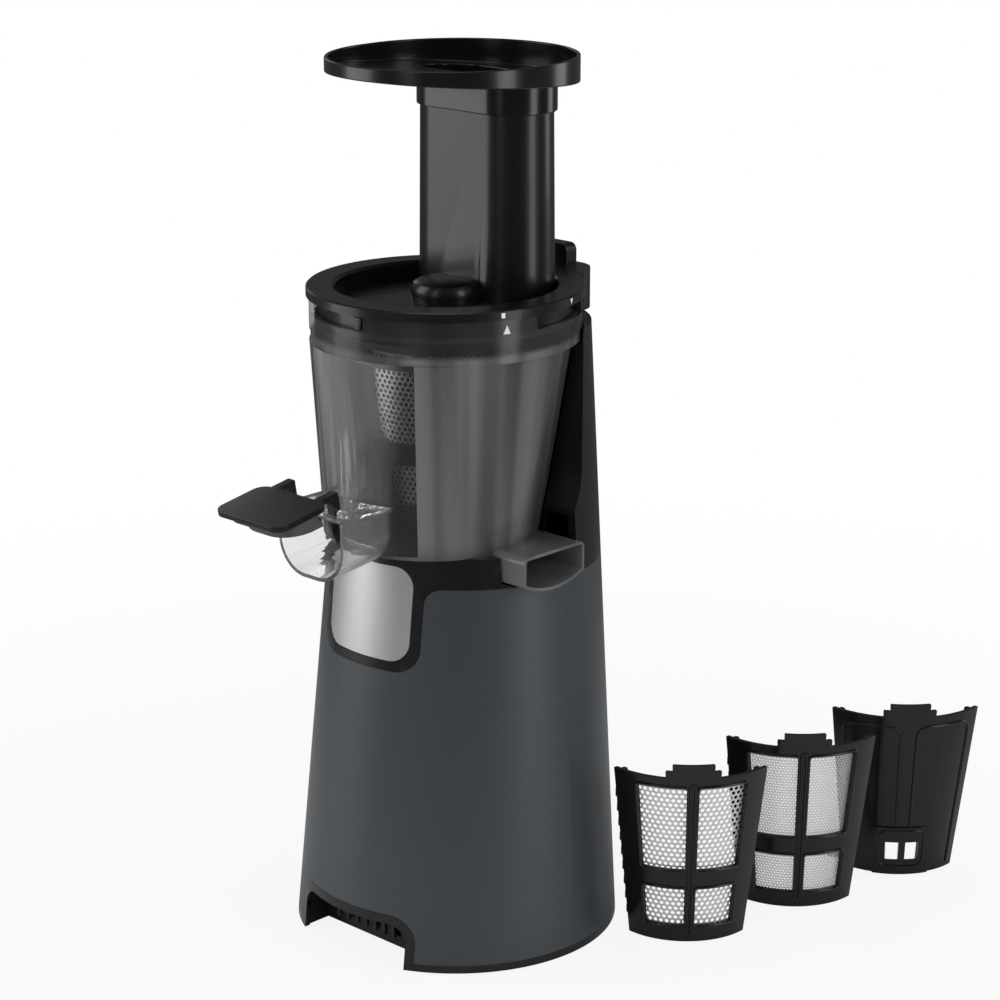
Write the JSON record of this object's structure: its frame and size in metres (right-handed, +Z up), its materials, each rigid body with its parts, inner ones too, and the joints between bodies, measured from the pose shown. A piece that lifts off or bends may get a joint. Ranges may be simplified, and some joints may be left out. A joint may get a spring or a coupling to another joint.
{
  "type": "cold press juicer",
  "caption": "Upright slow juicer: clear bowl with juice and pulp spouts, twist-on lid with an oval feed tube and food tray, and loose strainer inserts.",
  "frame": {"origin": "on the floor, directly under the axis of the auger and the drive shaft", "axes": "+Z up, -Y towards the juice spout at the front, +X towards the pulp spout"},
  "size_m": [0.2623, 0.386, 0.47],
  "materials": {
    "wrap_grey": "satin",
    "black_gloss": "gloss",
    "black_satin": "satin",
    "steel_brushed": "brushed",
    "bowl_smoky": "clear",
    "spout_clear": "clear",
    "mesh_steel": "perforated",
    "rubber_dark": "matte",
    "screw_steel": "satin",
    "gear_metal": "satin",
    "gear_plastic": "matte",
    "motor_steel": "satin",
    "motor_core": "rough",
    "gearbox_alloy": "cast",
    "board_green": "matte",
    "capacitor_film": "gloss",
    "auger_black": "satin",
    "plunger_grey": "satin"
  },
  "bodies": {
    "base": {"outer_wrap": "wrap_grey", "base_ring": "black_satin", "base_plate": "black_satin", "rubber_feet": "rubber_dark", "base_screws": "screw_steel", "upper_housing": "black_gloss", "front_plate": "steel_brushed", "switch_bezel": "black_satin", "cord_inlet": "rubber_dark", "control_board": "board_green", "capacitor": "capacitor_film", "motor_can": "motor_steel", "stator": "motor_core", "motor_bracket": "gearbox_alloy", "gearbox_housing": "gearbox_alloy", "gearbox_cover": "gearbox_alloy", "upper_bearing": "screw_steel", "shaft_seal": "rubber_dark", "safety_switch": "black_satin"},
    "rocker": {"rocker": "black_satin"},
    "motor_rotor": {"rotor": "gear_metal", "motor_fan": "gear_plastic", "motor_pinion": "gear_metal"},
    "layshaft": {"lay_shaft": "screw_steel", "first_gear": "gear_plastic", "second_pinion": "gear_metal"},
    "output": {"output_gear": "gear_metal", "output_shaft": "screw_steel"},
    "plunger": {"switch_plunger": "plunger_grey"},
    "bowl": {"bowl_body": "bowl_smoky", "juice_spout": "spout_clear", "pulp_spout": "bowl_smoky", "bowl_seal": "rubber_dark", "cap_pin": "screw_steel", "strainer_frame": "black_satin", "insert_1": "black_satin", "insert_2": "black_satin", "insert_3": "black_satin", "mesh_1": "mesh_steel", "mesh_2": "mesh_steel", "mesh_3": "mesh_steel"},
    "idler": {"idler_gear": "gear_plastic"},
    "cap": {"spout_cap": "black_satin", "cap_plug": "rubber_dark"},
    "auger": {"auger": "auger_black", "auger_socket": "screw_steel", "auger_gear": "auger_black"},
    "wiper": {"wiper_frame": "black_satin", "wiper_blades": "rubber_dark"},
    "seal": {"lid_seal": "rubber_dark"},
    "lid": {"lid": "black_gloss", "lid_bush": "screw_steel"},
    "tray": {"tray": "black_satin"},
    "spare_coarse": {"spare_coarse_insert": "black_satin", "spare_coarse_mesh": "mesh_steel"},
    "spare_fine": {"spare_fine_insert": "black_satin", "spare_fine_mesh": "mesh_steel"},
    "spare_blank": {"spare_blank_insert": "black_satin"}
  },
  "joints": [
    {"name": "motor_spin", "type": "hinge", "parent": "base", "child": "motor_rotor", "pos_m": [0, 0, 0.069], "axis": [0, 0, 1], "continuous": true},
    {"name": "layshaft_spin", "type": "hinge", "parent": "base", "child": "layshaft", "pos_m": [0, 0.033, 0.128], "axis": [0, 0, 1], "continuous": true},
    {"name": "output_spin", "type": "hinge", "parent": "base", "child": "output", "pos_m": [0, 0, 0.136], "axis": [0, 0, 1], "continuous": true},
    {"name": "rocker_tilt", "type": "hinge", "parent": "base", "child": "rocker", "pos_m": [0, 0.0862, 0.062], "axis": [1, 0, 0], "range_deg": [-12, 12]},
    {"name": "plunger_press", "type": "slide", "parent": "base", "child": "plunger", "axis": [0, 0, -1], "range_m": [0, 0.0022], "stiffness_N_per_m": 300},
    {"name": "bowl_lift", "type": "slide", "parent": "base", "child": "bowl", "axis": [0, 0, 1], "range_m": [0, 0.06]},
    {"name": "auger_spin", "type": "hinge", "parent": "bowl", "child": "auger", "pos_m": [0, 0, 0.28], "axis": [0, 0, 1], "continuous": true},
    {"name": "idler_spin", "type": "hinge", "parent": "bowl", "child": "idler", "pos_m": [-0.025, 0, 0.2275], "axis": [0, 0, 1], "continuous": true},
    {"name": "wiper_spin", "type": "hinge", "parent": "bowl", "child": "wiper", "pos_m": [0, 0, 0.28], "axis": [0, 0, 1], "continuous": true},
    {"name": "cap_swing", "type": "hinge", "parent": "bowl", "child": "cap", "pos_m": [0, -0.0955, 0.2525], "axis": [1, 0, 0], "range_deg": [0, 80]},
    {"name": "lid_lift", "type": "slide", "parent": "bowl", "child": "seal", "axis": [0, 0, 1], "range_m": [0, 0.05]},
    {"name": "lid_turn", "type": "hinge", "parent": "seal", "child": "lid", "pos_m": [0, 0, 0.345], "axis": [0, 0, 1], "range_deg": [-37, 0]},
    {"name": "tray_lift", "type": "slide", "parent": "lid", "child": "tray", "axis": [0, 0, 1], "range_m": [0, 0.04]},
    {"name": "spare_coarse_lift", "type": "slide", "parent": "base", "child": "spare_coarse", "axis": [0, 0, 1], "range_m": [0, 0.1]},
    {"name": "spare_fine_lift", "type": "slide", "parent": "base", "child": "spare_fine", "axis": [0, 0, 1], "range_m": [0, 0.1]},
    {"name": "spare_blank_lift", "type": "slide", "parent": "base", "child": "spare_blank", "axis": [0, 0, 1], "range_m": [0, 0.1]}
  ],
  "couplings": [
    {"joint": "layshaft_spin", "follows": "motor_spin", "ratio": -0.26923},
    {"joint": "output_spin", "follows": "motor_spin", "ratio": 0.072485},
    {"joint": "auger_spin", "follows": "motor_spin", "ratio": 0.072485},
    {"joint": "idler_spin", "follows": "motor_spin", "ratio": -0.10873},
    {"joint": "wiper_spin", "follows": "motor_spin", "ratio": -0.031065}
  ]
}
